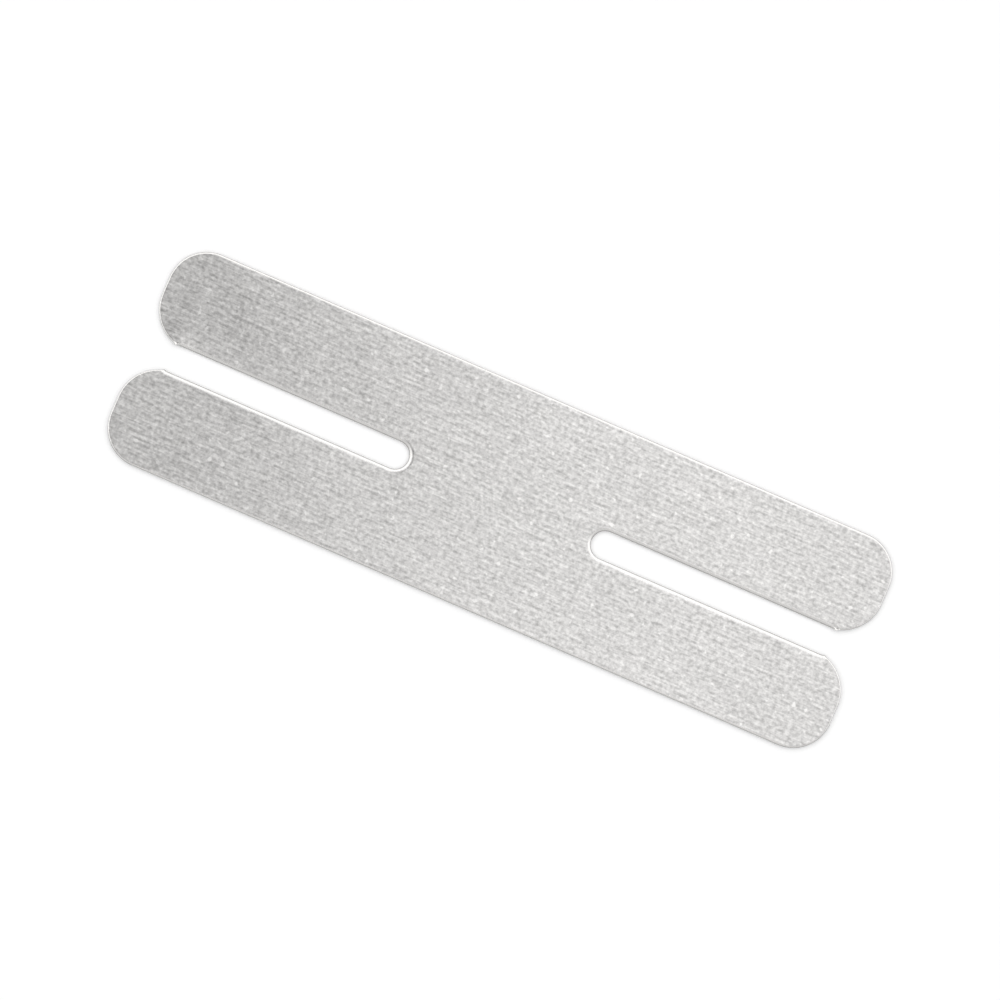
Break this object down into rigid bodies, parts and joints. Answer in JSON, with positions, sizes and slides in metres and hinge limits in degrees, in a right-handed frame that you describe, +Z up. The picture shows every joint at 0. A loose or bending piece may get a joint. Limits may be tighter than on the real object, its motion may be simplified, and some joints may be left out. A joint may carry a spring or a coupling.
{
  "type": "nickel strip",
  "caption": "Thin flat nickel strip with a slot running in from each end and rounded prong tips, spot-welded across battery cells to join them.",
  "frame": {"origin": "middle of the underside, which the strip lies on", "axes": "+X along the strip and its slots, +Y across its width, +Z up through its thickness"},
  "size_m": [0.0274, 0.008, 0.0002],
  "materials": {
    "nickel": "satin"
  },
  "bodies": {
    "root": {"nickel_strip": "nickel"}
  },
  "joints": []
}
